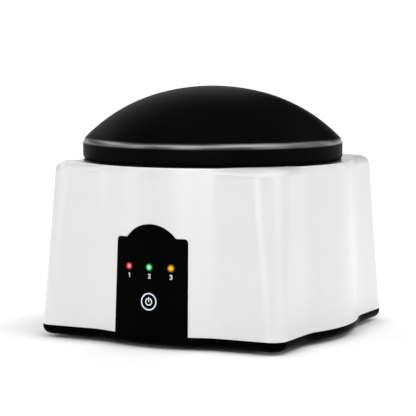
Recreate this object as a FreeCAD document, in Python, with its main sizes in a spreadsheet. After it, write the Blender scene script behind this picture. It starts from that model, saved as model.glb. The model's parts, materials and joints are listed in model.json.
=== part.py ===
"""Gel polish remover machine: a steam chamber under a lift-off dome, with finger ports and a control panel.

The frame: Z points up from the surface that the feet stand on, the control panel faces -Y,
and the origin lies under the middle of the four-lobed body. All sizes are in millimetres.
"""
import FreeCAD, Part
import math
import os

import Sketcher
from FreeCAD import Placement, Rotation, Vector

doc = FreeCAD.newDocument("gel_polish_remover")
sheet = doc.addObject("Spreadsheet::Sheet", "sizes")

SIZES = {
    # body plan at the split line: a square with a round bay on each side; its corners grow rounder upward
    "body_half_width": 68.35,
    "bay_depth": 6.7,
    "blend_radius": 30.5,
    "top_blend_radius": 16.0,
    "corner_radius": 8.0,
    "top_corner_radius": 15.0,
    # body heights, drafts (degrees) and the rounded shoulder
    "body_height": 82.1,
    "wing_draft": 2.15,
    "bay_draft": 2.44,
    "shoulder_height": 5.5,
    "wing_shoulder": 5.5,
    "bay_shoulder": 2.0,
    "roof_turn": 50.0,
    "shell_wall": 2.4,
    # the lobes rise above the collar's seat, over a slope that starts beside the collar
    "lobe_rise": 1.2,
    "seat_margin": 0.7,
    "seat_slope_width": 7.8,
    # base tray
    "base_height": 5.0,
    "base_edge_radius": 4.0,
    "base_floor": 2.4,
    "lap_height": 3.0,
    "lap_thickness": 1.4,
    "lap_gap": 0.4,
    "vent_length": 26.0,
    "vent_width": 3.0,
    "vent_pitch": 8.0,
    # feet and the screws above them
    "foot_radius": 5.0,
    "foot_projection": 1.9,
    "foot_recess": 1.0,
    "foot_clearance": 0.2,
    "fixing_side_inset": 12.35,
    "fixing_end_inset": 17.35,
    "fixing_boss_radius": 4.6,
    "fixing_post_height": 7.0,
    "fixing_screw_radius": 1.5,
    "fixing_screw_length": 16.0,
    "fixing_pilot_extra": 1.0,
    "fixing_head_radius": 3.0,
    "fixing_head_height": 2.2,
    "screw_head_clearance": 0.4,
    # steam well, hung from the collar and a little left of the middle of the body
    "well_offset": -2.0,
    "chamber_wall": 1.8,
    "chamber_floor_level": 34.0,
    "chamber_floor": 2.0,
    "chamber_flange_width": 3.0,
    "chamber_flange_thickness": 1.4,
    "well_clearance": 0.3,
    # collar
    "collar_setback": 0.5,
    "collar_thickness": 0.8,
    "collar_wall": 1.8,
    "collar_depth": 6.0,
    "collar_ledge": 1.6,
    "collar_land": 8.1,
    # lid: a crown arc that runs into a tighter flank arc, a rounded rim and an inner skirt;
    # the arcs keep their proportion to the lid's radius
    "lid_setback": 0.35,
    "lid_rise": 38.9,
    "lid_crown_ratio": 1.5441,
    "lid_reach_ratio": 0.40294,
    "lid_flank_ratio": 1.26912,
    "lid_rim_round": 5.0,
    "lid_lower_round": 2.6,
    "lid_wall": 2.2,
    "lid_rim_wall": 3.2,
    "lid_skirt_gap": 0.7,
    "lid_skirt_wall": 1.8,
    "lid_skirt_drop": 2.6,
    "seal_width": 3.6,
    "seal_height": 2.5,
    # heated dish and its heater
    "dish_inset": 18.8,
    "dish_depth": 14.8,
    "dish_wall": 1.0,
    "dish_bend_radius": 6.0,
    "dish_flange_width": 6.0,
    "dish_clearance": 2.2,
    "gasket_thickness": 0.8,
    "heater_inset": 8.0,
    "heater_thickness": 3.0,
    "mica_thickness": 0.8,
    "strap_outset": 8.0,
    "strap_width": 22.0,
    "strap_thickness": 1.2,
    "strap_end_margin": 5.0,
    "strap_boss_radius": 4.0,
    "strap_screw_radius": 1.5,
    "strap_screw_length": 10.0,
    "strap_head_radius": 3.0,
    "strap_head_height": 2.0,
    "thermostat_radius": 7.0,
    "thermostat_height": 8.2,
    "thermostat_clearance": 0.3,
    "terminal_width": 6.3,
    "terminal_thickness": 0.8,
    "terminal_length": 4.0,
    "terminal_spacing": 7.0,
    "sensor_length": 7.0,
    "sensor_width": 4.0,
    "sensor_height": 3.0,
    "sensor_inset": 9.0,
    # guard plate over the dish
    "guard_clearance": 0.8,
    "guard_height": 10.0,
    "guard_plate": 2.0,
    "guard_skirt": 2.0,
    "guard_hole_radius": 4.2,
    "guard_inner_circle": 22.0,
    "guard_outer_inset": 15.8,
    "guard_centre_hole": 11.0,
    # finger ports in a flat recess at the rear
    "port_drop": 1.5,
    "port_side_margin": 6.0,
    "port_half_gap": 1.2,
    "sleeve_wall": 1.0,
    "sleeve_flange_half_gap": 0.4,
    "sleeve_flange_thickness": 1.5,
    "port_recess_depth": 13.05,
    "port_recess_height": 30.0,
    "port_recess_margin": 12.5,
    "port_clearance": 0.2,
    # control panel: an arched lens that follows the front bay
    "panel_half_width": 20.2,
    "panel_top_half_width": 19.5,
    "panel_shoulder_level": 54.8,
    "panel_arch_half_width": 13.4,
    "panel_arch_rise": 6.75,
    "panel_corner_radius": 2.0,
    "panel_thickness": 1.8,
    "panel_proud": 0.2,
    "panel_gap": 0.2,
    "panel_backing": 2.0,
    "panel_backing_margin": 3.0,
    # controls behind the panel; depths count inward from the panel's surface
    "button_level": 23.6,
    "button_radius": 4.8,
    "button_proud": 0.3,
    "button_gap": 0.2,
    "button_flange_radius": 5.8,
    "button_flange_thickness": 1.0,
    "button_flange_gap": 0.4,
    "button_stem_radius": 2.0,
    "plunger_depth": 5.3,
    "plunger_radius": 1.75,
    "plunger_length": 2.3,
    "plunger_proud": 0.8,
    "plunger_clearance": 0.05,
    "switch_side": 6.0,
    "switch_height": 3.5,
    "light_level": 40.6,
    "light_pitch": 11.6,
    "light_pipe_radius": 1.7,
    "light_pipe_gap": 0.1,
    "led_height": 0.8,
    "led_length": 2.2,
    "led_width": 1.4,
    "led_gap": 0.1,
    # circuit board
    "board_width": 40.0,
    "board_height": 38.0,
    "board_drop": 9.0,
    "board_thickness": 1.6,
    "board_post_radius": 2.4,
    "board_post_half_span": 16.5,
    "board_post_lower": -5.5,
    "board_post_upper": 25.5,
    "board_screw_radius": 1.0,
    "board_screw_length": 6.0,
    "board_head_radius": 1.9,
    "board_head_height": 1.4,
    "chip_side": 9.0,
    "chip_height": 1.4,
    "chip_rise": 16.0,
    "relay_length": 15.0,
    "relay_width": 10.0,
    "relay_height": 11.0,
    "relay_shift": -5.0,
    "relay_edge_gap": 1.0,
    "connector_length": 9.0,
    "connector_width": 6.0,
    "connector_height": 7.0,
    "connector_shift": 8.0,
    # supply inlet low at the rear
    "inlet_level": 22.0,
    "inlet_flange_radius": 6.0,
    "inlet_flange_thickness": 1.5,
    "inlet_thread_radius": 4.0,
    "inlet_length": 14.0,
    "inlet_bore_radius": 2.85,
    "inlet_bore_depth": 9.5,
    "inlet_pin_radius": 1.05,
    "inlet_pin_setback": 1.0,
    "inlet_nut_width": 11.0,
    "inlet_nut_thickness": 2.5,
    "inlet_nut_gap": 0.4,
    "inlet_clearance": 0.15,
    "inlet_seat_depth": 1.0,
    # wiring
    "wire_radius": 0.7,
    "wire_spacing": 2.0,
    "wire_level": 7.5,
    "wire_lane": 24.0,
    "wire_run_out": 8.0,
    "heater_lead_embed": 0.6,
}

# counts, and the share of a wire's shorter run that each of its bends takes up
GUARD_HOLE_COUNTS = (("inner", 8), ("outer", 14))
VENT_STEPS = (-3, -2, -1, 0, 1, 2, 3)
PORT_STEPS = (-2, -1, 0, 1, 2)
SIDES = (-1, 1)
WIRE_BEND_SHARE = 0.45
NEAR = 0.01

for row, (alias, number) in enumerate(SIZES.items(), start=1):
    sheet.set("A%d" % row, alias)
    sheet.set("B%d" % row, str(number))
    sheet.setAlias("B%d" % row, alias)
doc.recompute()


class Size:
    """A length or angle from the sheet, or worked out from it, with the expression that says how."""

    def __init__(self, value, text):
        self.value = value
        self.text = text

    def __add__(self, other):
        other = as_size(other)
        return Size(self.value + other.value, "(%s + %s)" % (self.text, other.text))

    def __sub__(self, other):
        other = as_size(other)
        return Size(self.value - other.value, "(%s - %s)" % (self.text, other.text))

    def __mul__(self, other):
        other = as_size(other)
        return Size(self.value * other.value, "(%s * %s)" % (self.text, other.text))

    def __truediv__(self, other):
        other = as_size(other)
        return Size(self.value / other.value, "(%s / %s)" % (self.text, other.text))

    def __neg__(self):
        return Size(-self.value, "(-1 * %s)" % self.text)

    def __radd__(self, other):
        return as_size(other) + self

    def __rsub__(self, other):
        return as_size(other) - self

    def __rmul__(self, other):
        return as_size(other) * self


def as_size(value):
    """A Size as it is, or a plain number as a Size."""
    if isinstance(value, Size):
        return value
    return Size(float(value), "(%.9g)" % value)


def root(size):
    return Size(math.sqrt(size.value), "sqrt(%s)" % size.text)


def tangent(angle):
    return Size(math.tan(math.radians(angle.value)), "tan(%s)" % angle.text)


class Cells:
    """The sheet's cells as Sizes, by alias."""

    def __getattr__(self, alias):
        return Size(float(sheet.get(alias)), "sizes." + alias)


dim = Cells()

# ---------------------------------------------------------------- levels and shared sizes
base_bottom = dim.foot_projection
split = base_bottom + dim.base_height
shell_top = split + dim.body_height
lobe_top = shell_top + dim.lobe_rise
shoulder_start = lobe_top - dim.shoulder_height
collar_top = shell_top + dim.collar_thickness
collar_bottom = shell_top - dim.collar_depth
ledge_top = collar_bottom + dim.collar_ledge
chamber_floor_top = dim.chamber_floor_level + dim.chamber_floor
bay_radius = dim.body_half_width + dim.bay_depth
fixing_across = dim.body_half_width - dim.fixing_side_inset
fixing_along = dim.body_half_width - dim.fixing_end_inset
lid_radius = dim.body_half_width - dim.lid_setback
collar_radius = lid_radius - dim.collar_setback
collar_inner_radius = lid_radius - dim.collar_land
flange_radius = collar_inner_radius - dim.well_clearance
chamber_radius = flange_radius - dim.chamber_flange_width
chamber_inner_radius = chamber_radius - dim.chamber_wall
spigot_radius = collar_inner_radius + dim.collar_wall
opening_radius = spigot_radius + dim.well_clearance
dish_radius = chamber_inner_radius - dim.dish_inset
heater_radius = dish_radius - dim.heater_inset
strap_half_span = dish_radius + dim.strap_outset
dish_flange_level = chamber_floor_top + dim.gasket_thickness
dish_flange_top = dish_flange_level + dim.dish_wall
dish_bottom = dish_flange_top - dim.dish_depth - dim.dish_wall
heater_bottom = dish_bottom - dim.heater_thickness
strap_top = heater_bottom - dim.mica_thickness
strap_bottom = strap_top - dim.strap_thickness
port_level = (chamber_floor_top + shell_top) / 2 - dim.port_drop
port_face = bay_radius - dim.port_recess_depth
port_pitch = (chamber_inner_radius - dim.port_side_margin + dim.port_half_gap) / (PORT_STEPS[-1] + 0.5)
sleeve_radius = port_pitch / 2 - dim.port_half_gap
port_bore_radius = sleeve_radius - dim.sleeve_wall
sleeve_flange_radius = port_pitch / 2 - dim.sleeve_flange_half_gap


# ---------------------------------------------------------------- building blocks
def place(feature, x=0.0, y=0.0, z=0.0, axis=Vector(1, 0, 0), angle=0.0):
    """Put a feature at a point, turned about an axis, with all of it bound to the sheet."""
    x, y, z, angle = as_size(x), as_size(y), as_size(z), as_size(angle)
    base = Vector(x.value, y.value, z.value)
    feature.Placement = Placement(base, Rotation(axis, angle.value))
    for part_name, size in (("Base.x", x), ("Base.y", y), ("Base.z", z)):
        feature.setExpression(".Placement." + part_name, size.text)
    if angle.value:
        feature.setExpression(".Placement.Rotation.Angle", angle.text)
    return feature


def bind(feature, **sizes):
    """Bind properties of a feature to Sizes."""
    for name, size in sizes.items():
        size = as_size(size)
        setattr(feature, name, size.value)
        feature.setExpression(name, size.text)
    return feature


def arc_middle(start, end, radius, side):
    """Point halfway along the arc from start to end that bulges to the left (side 1) or right (-1)."""
    chord = end - start
    half = chord.Length / 2.0
    rise = radius - math.sqrt(max(radius * radius - half * half, 0.0))
    left = Vector(-chord.y, chord.x, 0.0).normalize()
    return (start + end) * 0.5 + left * (side * rise)


def draw_profile(sketch, corners, arcs):
    """Closed outline whose corners and arc radii are all bound; arcs maps an edge to (radius, side)."""
    corners = [(as_size(x), as_size(y)) for x, y in corners]
    points = [Vector(x.value, y.value, 0.0) for x, y in corners]
    ends = []
    for edge, start in enumerate(points):
        end = points[(edge + 1) % len(points)]
        if edge in arcs:
            radius, side = arcs[edge]
            curve = Part.Arc(start, arc_middle(start, end, radius.value, side), end)
        else:
            curve = Part.LineSegment(start, end)
        index = sketch.addGeometry(curve, False)
        forward = sketch.getPoint(index, 1).distanceToPoint(start) < 1e-6
        ends.append((index, 1, 2) if forward else (index, 2, 1))
    for edge, (index, _, last) in enumerate(ends):
        following, first, _ = ends[(edge + 1) % len(ends)]
        sketch.addConstraint(Sketcher.Constraint("Coincident", index, last, following, first))
    for (index, first, _), (x, y) in zip(ends, corners):
        for kind, size in (("DistanceX", x), ("DistanceY", y)):
            number = sketch.addConstraint(Sketcher.Constraint(kind, index, first, size.value))
            sketch.setExpression("Constraints[%d]" % number, size.text)
    for edge, (radius, _) in arcs.items():
        number = sketch.addConstraint(Sketcher.Constraint("Radius", ends[edge][0], radius.value))
        sketch.setExpression("Constraints[%d]" % number, radius.text)


def draw_circle(sketch, x, y, radius):
    """Circle with its centre and radius bound."""
    x, y = as_size(x), as_size(y)
    index = sketch.addGeometry(Part.Circle(Vector(x.value, y.value, 0), Vector(0, 0, 1), radius.value), False)
    for constraint, size in (
        (Sketcher.Constraint("DistanceX", index, 3, x.value), x),
        (Sketcher.Constraint("DistanceY", index, 3, y.value), y),
        (Sketcher.Constraint("Radius", index, radius.value), radius),
    ):
        number = sketch.addConstraint(constraint)
        sketch.setExpression("Constraints[%d]" % number, size.text)


def new_body(name):
    body = doc.addObject("PartDesign::Body", name)
    body.Label = name
    return body


def new_sketch(body, name, plane, level=None):
    """Sketch on one of the body's own origin planes, raised to a level."""
    sketch = body.newObject("Sketcher::SketchObject", name)
    support = [item for item in body.Origin.OriginFeatures if item.Role == plane][0]
    sketch.AttachmentSupport = (support, [""])
    sketch.MapMode = "FlatFace"
    if level is not None:
        level = as_size(level)
        sketch.AttachmentOffset = Placement(Vector(0, 0, level.value), Rotation())
        sketch.setExpression(".AttachmentOffset.Base.z", level.text)
    return sketch


def turned(name, corners, arcs=None):
    """Body of revolution about Z, from a closed profile of (radius, height) corners."""
    body = new_body(name)
    sketch = new_sketch(body, name + "_profile", "XZ_Plane")
    draw_profile(sketch, corners, arcs or {})
    turn = body.newObject("PartDesign::Revolution", name + "_turn")
    turn.Profile = sketch
    turn.ReferenceAxis = (sketch, ["V_Axis"])
    turn.Angle = 360.0
    return body


def pad(body, name, sketch, length):
    feature = body.newObject("PartDesign::Pad", name)
    feature.Profile = sketch
    bind(feature, Length=length)
    return feature


def pocket_through(body, name, sketch):
    feature = body.newObject("PartDesign::Pocket", name)
    feature.Profile = sketch
    feature.Type = "ThroughAll"
    feature.Midplane = True
    return feature


def box(name, length, width, height, x, y, z):
    """Box centred on (x, y) in plan whose underside is at z."""
    feature = doc.addObject("Part::Box", name)
    bind(feature, Length=length, Width=width, Height=height)
    return place(feature, x - length / 2, y - width / 2, z)


def cylinder(name, radius, height, x=0.0, y=0.0, z=0.0):
    feature = doc.addObject("Part::Cylinder", name)
    bind(feature, Radius=radius, Height=height)
    return place(feature, x, y, z)


def rod_back(name, radius, length, x, y, z):
    """Cylinder that runs towards +Y from (x, y, z)."""
    feature = doc.addObject("Part::Cylinder", name)
    bind(feature, Radius=radius, Height=length)
    return place(feature, x, y, z, Vector(1, 0, 0), -90.0)


def cut(name, base, tool):
    feature = doc.addObject("Part::Cut", name)
    feature.Base = base
    feature.Tool = tool
    return feature


def common(name, base, tool):
    feature = doc.addObject("Part::Common", name)
    feature.Base = base
    feature.Tool = tool
    return feature


def fuse(name, pieces):
    feature = doc.addObject("Part::MultiFuse", name)
    feature.Shapes = pieces
    return feature


def group(name, pieces):
    """Several like pieces that stay separate solids."""
    feature = doc.addObject("Part::Compound", name)
    feature.Links = pieces
    return feature


# Every finished sub-part, in the order it is made.
nodes = []


def finish(feature, name):
    feature.Label = name
    nodes.append(feature)
    return feature


def at_well(feature):
    """Stand a feature that was drawn about Z on the axis of the steam well."""
    return place(feature, dim.well_offset, 0.0, 0.0)


# ---------------------------------------------------------------- the body's plan
def plan(half_width, bay, blend, corner):
    """Outline of a rounded square with a round bay on each side: its corners and its arcs."""
    reach = root((bay + blend) * (bay + blend) - (half_width + blend) * (half_width + blend))
    share = bay / (bay + blend)
    bay_x = reach * share
    bay_y = (half_width + blend) * share
    quarter = [
        (-bay_x, -bay_y),
        (bay_x, -bay_y),
        (reach, -half_width),
        (half_width - corner, -half_width),
        (half_width, corner - half_width),
        (half_width, -reach),
    ]
    corners = []
    arcs = {}
    for turn in range(4):
        first = len(corners)
        arcs.update({
            first: (bay, -1),
            first + 1: (blend, 1),
            first + 3: (corner, -1),
            first + 5: (blend, 1),
        })
        corners += quarter
        quarter = [(-y, x) for x, y in quarter]
    return corners, arcs


def wall_plan(level, inset=0.0):
    """Plan of the drafted wall at a level, moved inward by an inset."""
    rise = level - split
    half_width = dim.body_half_width - rise * tangent(dim.wing_draft) - inset
    bay = bay_radius - rise * tangent(dim.bay_draft) - inset
    corner_growth = (dim.top_corner_radius - dim.corner_radius) * rise / (shoulder_start - split)
    return plan(half_width, bay, dim.blend_radius + inset, dim.corner_radius + corner_growth - inset)


def shoulder_plan(turn, inset=0.0):
    """Plan of the rounded shoulder, from the wall (turn 0) to the flat top (turn 90 degrees)."""
    share = 1.0 - math.cos(math.radians(turn))
    rise = shoulder_start - split
    half_width = dim.body_half_width - rise * tangent(dim.wing_draft) - dim.wing_shoulder * share - inset
    bay = bay_radius - rise * tangent(dim.bay_draft) - dim.bay_shoulder * share - inset
    blend = dim.blend_radius - (dim.blend_radius - dim.top_blend_radius) * share + inset
    return plan(half_width, bay, blend, dim.top_corner_radius - dim.wing_shoulder * share - inset)


def loft(body, name, sections, ruled):
    feature = body.newObject("PartDesign::AdditiveLoft", name)
    feature.Profile = sections[0]
    feature.Sections = sections[1:]
    feature.Ruled = ruled
    return feature


def plan_sketch(body, name, level, outline):
    sketch = new_sketch(body, name, "XY_Plane", level)
    draw_profile(sketch, *outline)
    return sketch


def shell_outside():
    """Outer form of the upper shell: the drafted wall, then the shoulder."""
    body = new_body("shell_outside")
    foot = plan_sketch(body, "shell_foot_plan", split, wall_plan(split))
    neck = plan_sketch(body, "shell_neck_plan", shoulder_start, wall_plan(shoulder_start))
    loft(body, "shell_wall_loft", [foot, neck], True)
    sections = []
    for turn in (0.0, 22.5, 45.0, 67.5, 90.0):
        level = shoulder_start + dim.shoulder_height * math.sin(math.radians(turn))
        name = "shoulder_plan_%d" % (turn * 10)
        sections.append(plan_sketch(body, name, level, shoulder_plan(turn)))
    loft(body, "shoulder_loft", sections, False)
    return body


def shell_inside():
    """Hollow of the upper shell, one wall inside its outer form."""
    body = new_body("shell_inside")
    wall = dim.shell_wall
    foot = plan_sketch(body, "hollow_foot_plan", split, wall_plan(split, wall))
    neck = plan_sketch(body, "hollow_neck_plan", shoulder_start, wall_plan(shoulder_start, wall))
    roof = plan_sketch(body, "hollow_roof_plan", shell_top - wall, shoulder_plan(dim.roof_turn.value, wall))
    loft(body, "hollow_loft", [foot, neck, roof], True)
    return body


# ---------------------------------------------------------------- frames of the panel and the inlet
def front_depth(level):
    """How far the front bay's surface stands from the middle of the body, at a level."""
    return bay_radius - (level - split) * tangent(dim.bay_draft)


def wall_frame(level, side):
    """Frame on the wall of the front (-1) or rear (1) bay at a level, leaning with the wall's draft."""
    origin = Vector(0.0, side * front_depth(level).value, level.value)
    return Placement(origin, Rotation(Vector(1, 0, 0), side * dim.bay_draft.value))


panel_frame = wall_frame(dim.button_level, -1)
inlet_frame = wall_frame(dim.inlet_level, 1)


def in_panel(feature, x=0.0, depth=0.0, rise=0.0, lying=True):
    """Place a feature in the panel's frame: X across, depth inward, rise up the wall from the button.

    A lying feature is drawn along Z and turned to run inward; any other is drawn as it stands.
    """
    across, inward, up = as_size(x).value, as_size(depth).value, as_size(rise).value
    turn = Rotation(Vector(1, 0, 0), -90.0) if lying else Rotation()
    feature.Placement = panel_frame * Placement(Vector(across, inward, up), turn)
    return feature


def in_inlet(feature, depth=0.0):
    """Place a feature drawn along Z on the inlet's axis, so that it runs inward from a depth."""
    turn = Rotation(Vector(1, 0, 0), 90.0)
    feature.Placement = inlet_frame * Placement(Vector(0.0, -as_size(depth).value, 0.0), turn)
    return feature


def rod(name, radius, length):
    """Cylinder drawn along Z, to be placed in one of the frames."""
    return bind(doc.addObject("Part::Cylinder", name), Radius=radius, Height=length)


def block(name, across, inward, up):
    """Box centred across and upward, that starts at depth 0."""
    feature = bind(doc.addObject("Part::Box", name), Length=across, Width=inward, Height=up)
    return feature, -across / 2, -up / 2


def block_in_panel(name, across, inward, up, x, depth, rise):
    feature, shift_x, shift_up = block(name, across, inward, up)
    return in_panel(feature, x + shift_x, depth, rise + shift_up, lying=False)


# depths behind the panel's surface
backing_rear = dim.panel_thickness + dim.panel_backing
flange_front = backing_rear + dim.button_flange_gap
switch_front = dim.plunger_depth + dim.plunger_proud
board_front = switch_front + dim.switch_height
board_rear = board_front + dim.board_thickness
led_front = board_front - dim.led_height
light_rise = dim.light_level - dim.button_level
board_rise = dim.board_height / 2 - dim.board_drop
post_places = [
    (side * dim.board_post_half_span, rise)
    for side in SIDES
    for rise in (dim.board_post_lower, dim.board_post_upper)
]
light_places = [("red", -dim.light_pitch), ("green", as_size(0.0)), ("amber", dim.light_pitch)]


def light_setback(x):
    """How far the curved panel falls back at a distance from its middle."""
    radius = front_depth(dim.light_level)
    return radius - root(radius * radius - x * x)


def panel_outline(name, grow):
    """Prism of the arched panel's outline, running through the front wall and grown by a margin."""
    body = new_body(name)
    sketch = new_sketch(body, name + "_outline", "XZ_Plane")
    half, top_half = dim.panel_half_width + grow, dim.panel_top_half_width + grow
    level = dim.panel_shoulder_level + grow
    arch_half, rise, corner = dim.panel_arch_half_width + grow, dim.panel_arch_rise, dim.panel_corner_radius
    arch_radius = (arch_half * arch_half + rise * rise) / (rise * 2.0)
    corners = [
        (-half, split),
        (half, split),
        (top_half, level - corner),
        (top_half - corner, level),
        (arch_half, level),
        (-arch_half, level),
        (corner - top_half, level),
        (-top_half, level - corner),
    ]
    draw_profile(sketch, corners, {2: (corner, -1), 4: (arch_radius, -1), 6: (corner, -1)})
    pad(body, name + "_run", sketch, bay_radius + dim.bay_depth)
    return body


def bay_cone(name, inset, floor, ceiling):
    """Cone that follows the round bays of the wall, one inset inside them, between two levels."""
    feature = doc.addObject("Part::Cone", name)
    slope = tangent(dim.bay_draft)
    bind(
        feature,
        Radius1=bay_radius - inset - (floor - split) * slope,
        Radius2=bay_radius - inset - (ceiling - split) * slope,
        Height=ceiling - floor,
    )
    return place(feature, 0.0, 0.0, floor)


def bay_band(name, outer_inset, inner_inset):
    """Cone band between two insets from the bays' surface, over the panel's height."""
    ceiling = dim.panel_shoulder_level + dim.panel_arch_rise + dim.panel_backing_margin * 2
    outer = bay_cone(name + "_outer", outer_inset, split, ceiling)
    inner = bay_cone(name + "_inner", inner_inset, split, ceiling)
    return cut(name, outer, inner)


# ---------------------------------------------------------------- finger ports
port_places = [dim.well_offset + port_pitch * step for step in PORT_STEPS]
recess_half_width = port_pitch * PORT_STEPS[-1] + dim.port_recess_margin


def port_recess(name, grow):
    """Block that clears the flat recess of the finger ports, grown by a wall on the inside."""
    reach = dim.bay_depth * 4
    feature = doc.addObject("Part::Box", name)
    bind(
        feature,
        Length=(recess_half_width + grow) * 2,
        Width=reach + grow,
        Height=dim.port_recess_height + grow * 2,
    )
    left = dim.well_offset - recess_half_width - grow
    return place(feature, left, port_face - grow, port_level - dim.port_recess_height / 2 - grow)


# ---------------------------------------------------------------- upper shell
def collar_seat():
    """Round of what stands above the collar's flat seat and the slope that climbs from it to the lobes."""
    seat_radius = collar_radius + dim.seat_margin
    slope_radius = seat_radius + dim.seat_slope_width
    clear_top = lobe_top + dim.lobe_rise
    return at_well(turned("collar_seat", [
        (as_size(0.0), shell_top),
        (seat_radius, shell_top),
        (slope_radius, lobe_top),
        (slope_radius, clear_top),
        (as_size(0.0), clear_top),
    ]))


corner_places = [
    (fixing_across * across, fixing_along * along) for across in SIDES for along in SIDES
]
post_top = base_bottom + dim.base_floor + dim.fixing_post_height
head_seat = base_bottom + dim.foot_recess + dim.screw_head_clearance + dim.fixing_head_height


def make_upper_shell():
    outside = shell_outside()
    kept = [
        cylinder("fixing_boss_%d" % n, dim.fixing_boss_radius, shell_top, x, y, post_top)
        for n, (x, y) in enumerate(corner_places, start=1)
    ]
    backing = bay_band("backing_band", 0.0, backing_rear)
    kept.append(common("panel_backing", backing, panel_outline("backing_outline", dim.panel_backing_margin)))
    kept.append(port_recess("recess_wall", dim.shell_wall))
    for n, (x, rise) in enumerate(post_places, start=1):
        kept.append(in_panel(rod("board_post_%d" % n, dim.board_post_radius, board_front), x, 0.0, rise))
    hollow = cut("hollow", shell_inside(), fuse("kept_in_hollow", kept))

    removed = [hollow, collar_seat(), port_recess("port_recess", 0.0)]
    removed.append(cylinder("opening", opening_radius, dim.body_height, dim.well_offset, 0.0, shoulder_start))
    for n, (x, y) in enumerate(corner_places, start=1):
        depth = dim.fixing_screw_length + dim.fixing_pilot_extra
        removed.append(cylinder("fixing_pilot_%d" % n, dim.fixing_screw_radius, depth, x, y, post_top))
    recess = bay_band("panel_recess_band", -dim.bay_depth, dim.panel_thickness)
    removed.append(common("panel_recess", recess, panel_outline("recess_outline", dim.panel_gap)))
    button_hole = dim.button_radius + dim.button_gap
    removed.append(in_panel(rod("button_hole", button_hole, board_front)))
    for colour, x in light_places:
        pipe_hole = rod("light_hole_" + colour, dim.light_pipe_radius + dim.light_pipe_gap, board_front)
        removed.append(in_panel(pipe_hole, x, 0.0, light_rise))
    for n, (x, rise) in enumerate(post_places, start=1):
        pilot = rod("board_pilot_%d" % n, dim.board_screw_radius, dim.board_screw_length)
        start = board_rear - dim.board_screw_length
        removed.append(in_panel(pilot, x, start, rise))
    for n, x in enumerate(port_places, start=1):
        radius = sleeve_radius + dim.port_clearance
        start = port_face - dim.shell_wall * 2
        removed.append(rod_back("port_hole_%d" % n, radius, dim.shell_wall * 4, x, start, port_level))
    inlet_hole = rod("inlet_hole", dim.inlet_thread_radius + dim.inlet_clearance, dim.inlet_length)
    removed.append(in_inlet(inlet_hole))
    seat = rod("inlet_seat", dim.inlet_flange_radius + dim.inlet_clearance * 2, dim.bay_depth)
    removed.append(in_inlet(seat, dim.inlet_seat_depth - dim.bay_depth))
    return finish(cut("upper_shell", outside, fuse("cut_from_shell", removed)), "upper_shell")


# ---------------------------------------------------------------- base tray, feet and screws
def make_base_tray():
    body = new_body("tray_form")
    outline = plan_sketch(body, "tray_plan", base_bottom, wall_plan(split))
    block_pad = pad(body, "tray_pad", outline, dim.base_height)
    doc.recompute()
    lower = [
        "Edge%d" % n
        for n, edge in enumerate(block_pad.Shape.Edges, start=1)
        if edge.BoundBox.ZMax < base_bottom.value + NEAR
    ]
    rounding = body.newObject("PartDesign::Fillet", "tray_edge")
    rounding.Base = (block_pad, lower)
    bind(rounding, Radius=dim.base_edge_radius)

    lap_outer = dim.shell_wall + dim.lap_gap
    lap_inner = lap_outer + dim.lap_thickness
    floor_top = base_bottom + dim.base_floor
    lap_height = dim.base_height - dim.base_floor + dim.lap_height
    lap_body = new_body("lap_form")
    lap_plan = plan_sketch(lap_body, "lap_plan", floor_top, wall_plan(split, lap_outer))
    pad(lap_body, "lap_pad", lap_plan, lap_height)
    hollow_body = new_body("tray_hollow")
    hollow_plan = plan_sketch(hollow_body, "tray_hollow_plan", floor_top, wall_plan(split, lap_inner))
    pad(hollow_body, "tray_hollow_pad", hollow_plan, lap_height + dim.base_height)
    walls = cut("tray_walls", fuse("tray_solid", [body, lap_body]), hollow_body)

    posts = [
        cylinder("post_%d" % n, dim.fixing_boss_radius, post_top - floor_top, x, y, floor_top)
        for n, (x, y) in enumerate(corner_places, start=1)
    ]
    removed = []
    for n, (x, y) in enumerate(corner_places, start=1):
        screw_hole = dim.fixing_screw_radius + dim.screw_head_clearance / 2
        head_hole = dim.fixing_head_radius + dim.screw_head_clearance
        foot_hole = dim.foot_radius + dim.foot_clearance
        removed.append(cylinder("screw_hole_%d" % n, screw_hole, post_top, x, y))
        removed.append(cylinder("head_hole_%d" % n, head_hole, head_seat, x, y))
        removed.append(cylinder("foot_hole_%d" % n, foot_hole, base_bottom + dim.foot_recess, x, y))
    removed.append(panel_outline("lap_gap_outline", dim.panel_backing_margin + dim.lap_gap))
    for n, (x, rise) in enumerate(post_places, start=1):
        gap = rod("lap_gap_%d" % n, dim.board_post_radius + dim.lap_gap, board_front)
        removed.append(in_panel(gap, x, 0.0, rise))
    for n, step in enumerate(VENT_STEPS, start=1):
        slot = box("vent_%d" % n, dim.vent_width, dim.vent_length, floor_top * 2,
                   dim.well_offset + dim.vent_pitch * step, as_size(0.0), as_size(0.0))
        removed.append(slot)
    tray = cut("base_tray", fuse("tray_and_posts", [walls] + posts), fuse("cut_from_tray", removed))
    return finish(tray, "base_tray")


def make_feet():
    thickness = dim.foot_projection + dim.foot_recess
    feet = [
        cylinder("foot_%d" % n, dim.foot_radius, thickness, x, y)
        for n, (x, y) in enumerate(corner_places, start=1)
    ]
    finish(group("rubber_feet", feet), "rubber_feet")


def screw_up(name, radius, length, head_radius, head_height, x, y, seat):
    """Screw driven upward, with its head under the seat."""
    head = cylinder(name + "_head", head_radius, head_height, x, y, seat - head_height)
    shank = cylinder(name + "_shank", radius, length, x, y, seat)
    return fuse(name, [head, shank])


def make_base_screws():
    screws = [
        screw_up("base_screw_%d" % n, dim.fixing_screw_radius, dim.fixing_screw_length,
                 dim.fixing_head_radius, dim.fixing_head_height, x, y, head_seat)
        for n, (x, y) in enumerate(corner_places, start=1)
    ]
    finish(group("base_screws", screws), "base_screws")


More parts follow.
